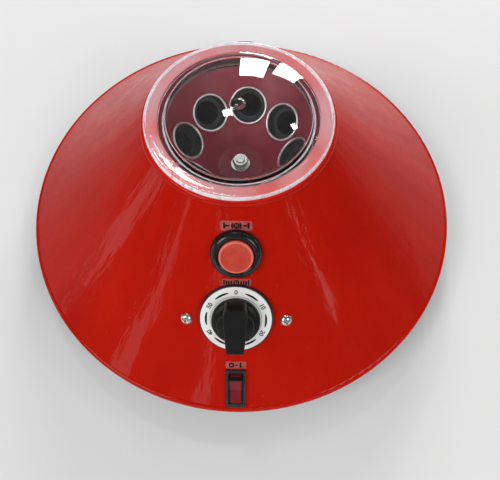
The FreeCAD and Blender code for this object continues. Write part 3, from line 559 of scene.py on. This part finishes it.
# ---------------------------------------------------------------- lid
def make_lid():
    """Clear lid: rolled edge, flat flange, low dome with a moulded boss and a spigot in the mouth."""
    base, rise, wall = 53.5, 11.0, 2.5
    flange_top = 147.0
    radius = (base * base + rise * rise) / (2 * rise)
    centre = flange_top + rise - radius

    def dome(r, inset=0.0):
        return r, centre + math.sqrt((radius - inset) ** 2 - r * r)

    profile = [(0, 158.75), (2.6, 158.72), (3.4, 158.55), (3.9, 158.2), (4.5, 157.97)]
    profile += [dome(4.8 + k * (51.8 - 4.8) / 40) for k in range(41)]
    profile += [(52.6, 147.45), (53.3, 147.18), (54.2, 147.03), (55.2, 147.0), (57.5, 147.0),
                (60.0, 147.0), (60.6, 147.08), (61.1, 147.3)]
    profile += arc((62.0, 146.7), 1.05, 125, 20, 6)
    profile += [(63.3, 146.4), (63.45, 145.6), (63.4, 144.8), (63.1, 144.35), (62.5, 144.16),
                (58.0, 144.15), (54.0, 144.15), (53.5, 143.9), (53.45, 140.0), (53.4, 138.8)]
    profile += arc((52.6, 138.8), 0.78, 0, -90, 4) + arc((49.7, 138.8), 0.8, -90, -180, 4)
    profile += [(48.85, 141.0), (48.8, 145.0), (48.5, 146.2)]
    profile += [dome(47.9 - k * 47.8 / 40, wall) for k in range(41)]
    profile.append((0, centre + radius - wall))
    edge_radius, spigot_bore, spigot_end, flange_start = 62.4, 49.6, 138.9, 54.6
    clear, glint_and_haze_slot, hazed_flange_slot = 0, 1, 2
    slots = []
    # The outer bead and the spigot's lower edge take the whitish edge acrylic, a painted highlight line;
    # the flange takes the hazier acrylic.
    for (r_a, z_a), (r_b, z_b) in zip(profile, profile[1:] + profile[:1]):
        radius_here, height = (r_a + r_b) / 2, (z_a + z_b) / 2
        if radius_here > edge_radius or (radius_here < spigot_bore and height < spigot_end):
            slots.append(glint_and_haze_slot)
        elif radius_here > flange_start:
            slots.append(hazed_flange_slot)
        else:
            slots.append(clear)
    lid = lathe("clear_lid", profile, [MATERIALS["clear_acrylic"], EDGE_HAZE_AND_GLINT, HAZED_FLANGE_ACRYLIC],
                segments=192, sharp_deg=50, slots=slots)
    finish_piece(lid, "lid", "clear_acrylic", "lid")


# ---------------------------------------------------------------- rotor's eight places
def tube_frame(number):
    """Matrix of a place's mouth: Z out of the mouth, up and towards the spin axis."""
    azimuth = math.radians(FIRST_TUBE_DEG + number * 360 / TUBE_COUNT)
    lean = Matrix.Rotation(math.radians(-TUBE_TILT_DEG), 4, "Y")
    reach = Matrix.Translation(Vector((MOUTH_CIRCLE, 0, MOUTH_HEIGHT)) * MM)
    return Matrix.Rotation(azimuth, 4, "Z") @ reach @ lean


def make_shields():
    """Drawn aluminium shields with rolled rims, dark inside."""
    outside = [(0, -98.0), (9.8, -98.0), (11.4, -97.5), (12.5, -96.5), (13.0, -95.0), (13.0, -6.0),
               (13.0, -0.05), (13.8, 0.0), (14.1, 0.3), (14.2, 0.9)]
    rim = arc((13.2, 0.95), 1.0, 5, 165, 10)
    inside = [(12.2, 0.6), (12.2, -0.4), (12.2, -94.0), (11.6, -95.9), (9.6, -96.8), (0, -96.8)]
    profile = outside + rim + inside
    slots = [0 if k < len(outside) + len(rim) else 1 for k in range(len(profile))]
    for number in range(TUBE_COUNT):
        name = f"tube_shield_{number + 1}"
        shield = lathe(f"{name}_rolled", profile, [MATERIALS["shield_aluminium"], SHIELD_INSIDE],
                       tube_frame(number), segments=96, slots=slots)
        finish_piece(shield, "rotor", "shield_aluminium", name)


def make_nut():
    """Washer and chamfered hexagonal nut."""
    floor = HEAD_FLOOR
    washer = [(3.05, floor + 0.02), (7.0, floor + 0.02), (7.25, floor + 0.3), (7.25, floor + 1.1),
              (6.95, floor + 1.42), (3.05, floor + 1.5)]
    item = lathe("rotor_washer_turned", washer, MATERIALS["plated_steel"], segments=96)
    finish_piece(item, "rotor", "plated_steel", "rotor_washer")

    flat, low, high, chamfer = 5.0, floor + 1.5, floor + 6.5, 0.75
    data = bmesh.new()
    steps = 96
    levels = [(low, 5.05), (low + chamfer, 5.8), (high - chamfer, 5.8), (high, 5.0), (high, 3.55),
              (high - 0.5, 3.05), (low, 3.05)]
    rings = []
    for height, limit in levels:
        ring = []
        for step in range(steps):
            turn = 2 * math.pi * step / steps
            side = (turn % (math.pi / 3)) - math.pi / 6
            reach = min(flat / math.cos(side), limit)
            ring.append(data.verts.new(Vector((reach * math.cos(turn), reach * math.sin(turn),
                                               height)) * MM))
        rings.append(ring)
    skin(data, rings)
    nut = to_object(data, "rotor_nut_chamfered", MATERIALS["plated_steel"], sharp_deg=20)
    finish_piece(nut, "rotor", "plated_steel", "rotor_nut")


# ---------------------------------------------------------------- brake button
def make_spring():
    """Coil spring under the cap: eight-sided wire, five turns."""
    low, high, radius, wire, turns, steps, sides = -4.45, 1.95, 5.9, 0.5, 5, 40, 8
    data = bmesh.new()
    rings = []
    for step in range(turns * steps + 1):
        turn = 2 * math.pi * step / steps
        height = low + (high - low) * step / (turns * steps)
        ring = []
        for side in range(sides):
            angle = 2 * math.pi * side / sides
            reach = radius + wire * math.cos(angle)
            ring.append(data.verts.new(BRAKE @ (Vector((reach * math.cos(turn), reach * math.sin(turn),
                                                        height + wire * math.sin(angle))) * MM)))
        rings.append(ring)
    skin(data, rings, closed=False)
    data.faces.new(rings[0][::-1])
    data.faces.new(rings[-1])
    spring = to_object(data, "brake_spring_coil", MATERIALS["spring_steel"])
    finish_piece(spring, "housing", "spring_steel", "brake_spring")
    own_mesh(spring)


def make_brake():
    """Black collar with a rounded crest, red cap with a painted highlight on its edge, and the spring.
    """
    collar = [(11.5, 3.9), (11.8, 4.5), (12.5, 4.9), (13.4, 5.0), (14.4, 4.8), (15.4, 4.2),
              (16.2, 3.2), (16.7, 2.1), (17.0, 0.8), (17.0, -2.4), (12.8, -2.4), (12.8, -8.0),
              (4.3, -8.0), (4.3, -5.0), (11.5, -5.0)]
    bezel = lathe("brake_collar", collar, MATERIALS["black_gloss"], BRAKE, segments=128)
    finish_piece(bezel, "housing", "black_gloss", "brake_bezel")
    cap = [(0, 6.25), (4.0, 6.27), (7.6, 6.32), (8.6, 6.42), (9.3, 6.62), (9.9, 6.78),
           (10.5, 6.72), (10.95, 6.4), (11.2, 5.85), (11.2, 2.5), (4.0, 2.5), (4.0, -8.0), (0, -8.0)]
    # The cap's rounded edge takes the lighter red, a painted highlight.
    slots = [1 if 9.5 < r < 11.0 and z > 6 else 0 for r, z in cap]
    button = lathe("brake_cap", cap, [MATERIALS["button_red"], CAP_EDGE_HIGHLIGHT], BRAKE, segments=128,
                   slots=slots)
    finish_piece(button, "brake_button", "button_red", "brake_button")
    make_spring()


# ---------------------------------------------------------------- timer dial and knob
def make_dial():
    """Dial plate in its black seat, with tapered arcs, a thin ring and plain numbers."""
    seat = [(5.3, -2.3), (25.2, -2.4), (25.2, 1.5), (25.05, 2.0), (24.75, 2.32), (24.4, 2.4),
            (24.22, 2.2), (24.22, 1.82), (5.3, 1.82)]
    finish_piece(lathe("dial_seat_ring", seat, MATERIALS["black_satin"], TIMER, segments=160),
                 "housing", "black_satin", "dial_seat")
    plate = [(5.3, 1.86), (24.1, 1.86), (24.15, 2.6), (23.9, 2.8), (5.3, 2.8)]
    finish_piece(lathe("dial_disc", plate, MATERIALS["dial_face"], TIMER, segments=160),
                 "housing", "dial_face", "dial_plate")
    data = bmesh.new()
    ink_low, ink_high = 2.79, 2.83

    def band(inner, outer, start_deg, end_deg, taper=0.0):
        """An inked arc, clockwise from the top, narrower towards its ends by the taper."""
        steps = max(12, int(abs(end_deg - start_deg) / 2))
        columns = []
        for k in range(steps + 1):
            share = k / steps
            squeeze = 1 - taper * abs(2 * share - 1) ** 3
            middle, half = (inner + outer) / 2, (outer - inner) / 2 * squeeze
            turn = math.radians(start_deg + (end_deg - start_deg) * share)
            columns.append([
                data.verts.new(TIMER @ (Vector((r * math.sin(turn), r * math.cos(turn), z)) * MM))
                for r, z in ((middle - half, ink_low), (middle + half, ink_low),
                             (middle + half, ink_high), (middle - half, ink_high))])
        for a, b in zip(columns, columns[1:]):
            for k in range(4):
                data.faces.new([a[k], a[(k + 1) % 4], b[(k + 1) % 4], b[k]])
        for column in (columns[0], columns[-1]):
            data.faces.new(column)

    for sector in range(6):
        band(19.55, 21.0, sector * 60 + 17, sector * 60 + 46, taper=0.75)
    finish_piece(to_object(data, "dial_arcs", INK), "housing", "black_satin")
    data = bmesh.new()
    band(17.25, 17.5, 0, 359.9)
    finish_piece(to_object(data, "dial_fine_ring", GREY_INK), "housing", "black_satin")
    for sector, mark in enumerate(("0", "10", "20", "30", "40", "50")):
        turn = math.radians(sector * 60)
        curve = bpy.data.curves.new(f"dial_number_{mark}", "FONT")
        curve.body = mark
        curve.align_x, curve.align_y = "CENTER", "CENTER"
        curve.size = 4.3 * MM
        curve.extrude = 0.02 * MM
        curve.offset = 0.10 * MM
        curve.materials.append(INK)
        item = bpy.data.objects.new(f"dial_number_{mark}", curve)
        bpy.context.collection.objects.link(item)
        spot = Matrix.Translation(Vector((20.3 * math.sin(turn), 20.3 * math.cos(turn), 2.83)) * MM)
        item.matrix_world = TIMER @ spot @ Matrix.Rotation(-turn, 4, "Z")
        finish_piece(item, "housing", "black_satin")


def rounded_outline(corners, steps=6):
    """An outline with each (x, y, radius) corner rounded."""
    points = []
    count = len(corners)
    for k, (x, y, radius) in enumerate(corners):
        here = Vector((x, y))
        before = (Vector(corners[k - 1][:2]) - here).normalized()
        after = (Vector(corners[(k + 1) % count][:2]) - here).normalized()
        reach = radius / math.tan(before.angle(after) / 2)
        start, end = here + before * reach, here + after * reach
        for step in range(steps + 1):
            t = step / steps
            spot = start * (1 - t) ** 2 + here * 2 * t * (1 - t) + end * t * t
            points.append((spot.x, spot.y))
    return points


def make_knob():
    """Black knob: skirt with a bevelled edge, core, and a tapered bar that points at zero."""
    low = 3.4
    skirt = [(3.02, low), (16.2, low), (16.5, low + 0.3), (16.45, low + 2.6), (16.2, low + 3.4),
             (15.7, low + 4.0), (14.9, low + 4.4), (12.9, low + 4.9), (12.6, low + 5.6),
             (12.35, low + 9.0), (12.0, low + 9.8), (11.2, low + 10.2), (3.02, low + 10.2)]
    finish_piece(lathe("knob_skirt", skirt, MATERIALS["black_knob"], TIMER, segments=128),
                 "timer_knob", "black_knob", "timer_knob")
    outline = rounded_outline([(-8.6, 11.0, 3.0), (-6.6, 17.9, 3.6), (6.6, 17.9, 3.6),
                               (8.6, 11.0, 3.0), (6.3, -17.9, 1.6), (-6.3, -17.9, 1.6)])
    bar = prism("knob_bar", outline, low + 4.5, low + 16.9, MATERIALS["black_knob"], TIMER,
                top_scale=0.93)
    finish_piece(bevel(bar, 1.1, 4), "timer_knob", "black_knob", "timer_knob")


# ---------------------------------------------------------------- power switch
def make_switch():
    """Softens the edges of the switch's housing and of its rocker."""
    for node in ("switch_housing", "rocker_paddle"):
        bevel(frame["nodes"][node], 0.35, 2, 40)


# ---------------------------------------------------------------- label films
def film_patch(name, material, width, height, low, high, middle_y, base, curve_in=0.8):
    """A thin sheet on the flare, its corners rounded, between two heights over the surface."""
    columns, rows = 28, 8
    data = bmesh.new()
    layers = []
    for lift in (low, high):
        grid = []
        for i in range(columns + 1):
            column = []
            for j in range(rows + 1):
                x = (i / columns - 0.5) * width
                y = (j / rows - 0.5) * height
                edge_x = width / 2 - abs(x)
                if edge_x < curve_in:
                    pull = curve_in - math.sqrt(max(0.0, curve_in ** 2 - (curve_in - edge_x) ** 2))
                    y *= 1 - pull / (height / 2)
                ground = drop_to_flare(base, x, y + middle_y)
                column.append(data.verts.new(base @ (Vector((x, y + middle_y, ground + lift)) * MM)))
            grid.append(column)
        layers.append(grid)
    for layer, flip in ((layers[0], True), (layers[1], False)):
        for i in range(columns):
            for j in range(rows):
                corners = [layer[i][j], layer[i + 1][j], layer[i + 1][j + 1], layer[i][j + 1]]
                data.faces.new(corners[::-1] if flip else corners)
    for i in range(columns):
        for j, order in ((0, 1), (rows, -1)):
            corners = [layers[0][i][j], layers[0][i + 1][j], layers[1][i + 1][j], layers[1][i][j]]
            data.faces.new(corners[::order])
    for j in range(rows):
        for i, order in ((0, -1), (columns, 1)):
            corners = [layers[0][i][j], layers[0][i][j + 1], layers[1][i][j + 1], layers[1][i][j]]
            data.faces.new(corners[::-order])
    return to_object(data, name, material)


def ink_marks(name, shapes, base, middle_y):
    """Black marks pressed on a film: each shape is an outline of (x, y), and may have a hole."""
    data = bmesh.new()
    for outline, hole in shapes:
        count = len(outline)
        layers = []
        for lift in (0.10, 0.14):
            for loop in (outline, hole):
                ring = []
                for x, y in loop or []:
                    ground = drop_to_flare(base, x, y + middle_y)
                    ring.append(data.verts.new(base @ (Vector((x, y + middle_y, ground + lift)) * MM)))
                layers.append(ring)
        low_out, low_in, high_out, high_in = layers
        for k in range(count):
            n = (k + 1) % count
            data.faces.new([low_out[k], low_out[n], high_out[n], high_out[k]])
            if hole:
                data.faces.new([low_in[n], low_in[k], high_in[k], high_in[n]])
                data.faces.new([high_out[k], high_out[n], high_in[n], high_in[k]])
                data.faces.new([low_out[n], low_out[k], low_in[k], low_in[n]])
        if not hole:
            data.faces.new(high_out)
            data.faces.new(low_out[::-1])
    return to_object(data, name, INK)


def circle(x, y, radius, steps=28):
    return arc((x, y), radius, 0, 360, steps)[:-1]


def bar_mark(x, y, width, height):
    return [(x - width / 2, y - height / 2), (x + width / 2, y - height / 2),
            (x + width / 2, y + height / 2), (x - width / 2, y + height / 2)]


def bow(x, y, radius, thick, start, end, steps=12):
    """An arc-shaped mark."""
    outer = arc((x, y), radius, start, end, steps)
    inner = arc((x, y), radius - thick, start, end, steps)
    return outer + inner[::-1]


def make_labels():
    """Three clear films over plain signs: a brake disc between its shoes, a clock, and line and ring."""
    tall = 3.9
    brake = [(circle(0, 0, tall / 2), circle(0, 0, tall / 2 - 0.95)), (circle(0, 0, 0.6, 14), None)]
    for side, facing in ((1, 0), (-1, 180)):
        brake.append((bow(0, 0, 3.3, 1.1, facing - 38, facing + 38), None))
        brake.append((bar_mark(side * 5.7, 0, 2.6, 1.1), None))
        brake.append((bar_mark(side * 7.7, 0, 1.2, tall), None))
    clock = [(circle(0, 0, tall / 2), circle(0, 0, tall / 2 - 0.8)),
             (bar_mark(0, 0.45, 0.6, 1.2), None), (bar_mark(0.35, 0, 1.0, 0.6), None)]
    for x, drop, height in ((3.3, -0.3, tall * 0.75), (4.9, -0.3, tall * 0.75),
                            (6.5, -0.3, tall * 0.75), (8.1, 0, tall)):
        for side in (-1, 1):
            clock.append((bar_mark(side * x, drop, 0.95, height), None))
    power = [(circle(-3.2, 0, 1.95), circle(-3.2, 0, 1.0)), (bar_mark(3.2, 0, 1.2, tall), None),
             (bar_mark(0.3, 0, 1.8, 0.9), None)]
    rows = (
        ("brake", BRAKE, LABEL_BRAKE_UP, 20.2, 6.6, brake),
        ("timer", TIMER, LABEL_TIMER_UP, 19.3, 5.2, clock),
        ("power", SWITCH, LABEL_SWITCH_UP, 14.4, 5.6, power),
    )
    for name, base, middle, width, height, shapes in rows:
        film = film_patch(f"{name}_film", FILM, width, height, 0.03, 0.09, middle, base)
        finish_piece(film, "housing", "clear_acrylic")
        finish_piece(ink_marks(f"{name}_sign", shapes, base, middle), "housing", "black_satin")


# ---------------------------------------------------------------- cable gland
def make_gland():
    """Fluted cap of the cable gland."""
    base = panel(GLAND_PLACE, azimuth_deg=90.0)
    low, high, bore, outer = 2.0, 5.0, 3.6, 8.5
    levels = [(low, outer, 0.0), (low + 0.2, outer, 1.0), (low + 1.8, outer - 0.05, 1.0),
              (low + 2.4, outer - 0.7, 0.5), (high - 0.15, 6.6, 0.0), (high, 5.9, 0.0),
              (high, 4.3, 0.0), (high - 0.35, bore, 0.0), (low, bore, 0.0)]
    data = bmesh.new()
    steps, flutes = 144, 18
    rings = []
    for height, radius, share in levels:
        ring = []
        for step in range(steps):
            turn = 2 * math.pi * step / steps
            groove = 0.45 * share * max(0.0, math.cos(turn * flutes)) ** 2
            reach = radius - groove
            ring.append(data.verts.new(base @ (Vector((reach * math.cos(turn), reach * math.sin(turn),
                                                       height)) * MM)))
        rings.append(ring)
    skin(data, rings)
    cap = to_object(data, "gland_cap_fluted", MATERIALS["black_satin"])
    finish_piece(cap, "housing", "black_satin", "gland_cap")


make_lid()
make_shields()
make_nut()
make_brake()
make_dial()
make_knob()
make_switch()
make_labels()
make_gland()


# ---------------------------------------------------------------- stage, light and camera
def stage_material():
    paint = Paint("pale_floor", roughness=0.9)
    paint.colour(paint.ramp(paint.noise(3.0), [(0.3, (0.72, 0.72, 0.72)), (0.8, (0.76, 0.76, 0.76))]))
    return paint.material


def make_floor():
    data = bmesh.new()
    size = 4.0
    data.faces.new([data.verts.new((x * size, y * size, 0)) for x, y in
                    ((-1, -1), (1, -1), (1, 1), (-1, 1))])
    floor = to_object(data, "floor", stage_material())


def area_light(name, spot, aim, size, power):
    light = bpy.data.lights.new(name, "AREA")
    light.shape = "RECTANGLE"
    light.size, light.size_y = size
    light.energy = power
    lamp = bpy.data.objects.new(name, light)
    lamp.visible_camera = False
    lamp.visible_transmission = False
    lamp.location = spot
    lamp.rotation_mode = "QUATERNION"
    lamp.rotation_quaternion = (Vector(aim) - Vector(spot)).to_track_quat("-Z", "Y")
    bpy.context.collection.objects.link(lamp)


def from_direction(azimuth_deg, elevation_deg, distance):
    """A point at a distance in metres from the middle of the lid, in a direction."""
    azimuth, elevation = math.radians(azimuth_deg), math.radians(elevation_deg)
    return Vector((math.cos(azimuth) * math.cos(elevation), math.sin(azimuth) * math.cos(elevation),
                   math.sin(elevation))) * distance + Vector((0, 0, 0.15))


def make_light():
    """An even room, two low windows behind, two small lamps above, soft keys and low strips."""
    world = bpy.data.worlds.new("studio")
    world.use_nodes = True
    nodes, links = world.node_tree.nodes, world.node_tree.links
    background = nodes["Background"]
    background.inputs["Color"].default_value = (1.0, 1.0, 1.0, 1.0)
    path = nodes.new("ShaderNodeLightPath")
    seen = nodes.new("ShaderNodeMath")
    seen.operation = "MAXIMUM"
    links.new(path.outputs["Is Camera Ray"], seen.inputs[0])
    links.new(path.outputs["Is Transmission Ray"], seen.inputs[1])
    lit = nodes.new("ShaderNodeMath")
    lit.operation = "MULTIPLY_ADD"
    links.new(seen.outputs["Value"], lit.inputs[0])
    lit.inputs[1].default_value = 0.18
    lit.inputs[2].default_value = 0.34
    strength = nodes.new("ShaderNodeMath")
    strength.operation = "MULTIPLY_ADD"
    links.new(path.outputs["Is Glossy Ray"], strength.inputs[0])
    strength.inputs[1].default_value = -0.22
    links.new(lit.outputs["Value"], strength.inputs[2])
    links.new(strength.outputs["Value"], background.inputs["Strength"])
    bpy.context.scene.world = world
    aim = (0, 0, 0.15)
    area_light("window_a", from_direction(86.0, 17.0, 1.8), aim, (0.36, 0.62), 15)
    area_light("window_b", from_direction(71.0, 13.0, 1.8), aim, (0.34, 0.46), 10)
    area_light("lamp_a", from_direction(105.0, 57.0, 1.8), aim, (0.17, 0.17), 2.2)
    area_light("lamp_b", from_direction(40.0, 48.0, 1.8), aim, (0.12, 0.12), 1.2)
    area_light("key_left", from_direction(-140.0, 42.0, 1.8), aim, (0.9, 0.6), 13)
    area_light("key_right", from_direction(-48.0, 40.0, 1.8), aim, (0.8, 0.5), 8)
    for name, azimuth, elevation, width, height, power in (
            ("strip_a", -170.0, 5.0, 0.34, 0.50, 1.3), ("strip_b", -136.0, 10.0, 0.16, 0.55, 0.7),
            ("strip_c", -104.0, 9.0, 0.12, 0.55, 0.5), ("strip_d", -44.0, 12.0, 0.05, 0.30, 0.35),
            ("strip_e", 22.0, 6.0, 0.20, 0.45, 0.8), ("rim_strip", -92.0, 1.5, 2.4, 0.07, 3.0)):
        area_light(name, from_direction(azimuth, elevation, 1.7), aim, (width, height), power)


def make_camera():
    camera = bpy.data.cameras.new("camera")
    camera.lens = 37.38
    camera.sensor_width = 36.0
    camera.sensor_fit = "HORIZONTAL"
    item = bpy.data.objects.new("camera", camera)
    yaw, pitch, roll = (math.radians(a) for a in (-1.17, 65.84, -0.13))
    forward = Vector((math.sin(yaw) * math.cos(pitch), math.cos(yaw) * math.cos(pitch),
                      -math.sin(pitch)))
    right = Vector((math.cos(yaw), -math.sin(yaw), 0))
    up = right.cross(forward)
    turned_right = right * math.cos(roll) + up * math.sin(roll)
    turned_up = -right * math.sin(roll) + up * math.cos(roll)
    matrix = Matrix((turned_right, turned_up, -forward)).transposed().to_4x4()
    matrix.translation = Vector((0.01148, -0.21521, 0.42519))
    item.matrix_world = matrix
    bpy.context.collection.objects.link(item)
    bpy.context.scene.camera = item


make_floor()
make_light()
make_camera()
bpy.context.scene.view_settings.view_transform = "Standard"
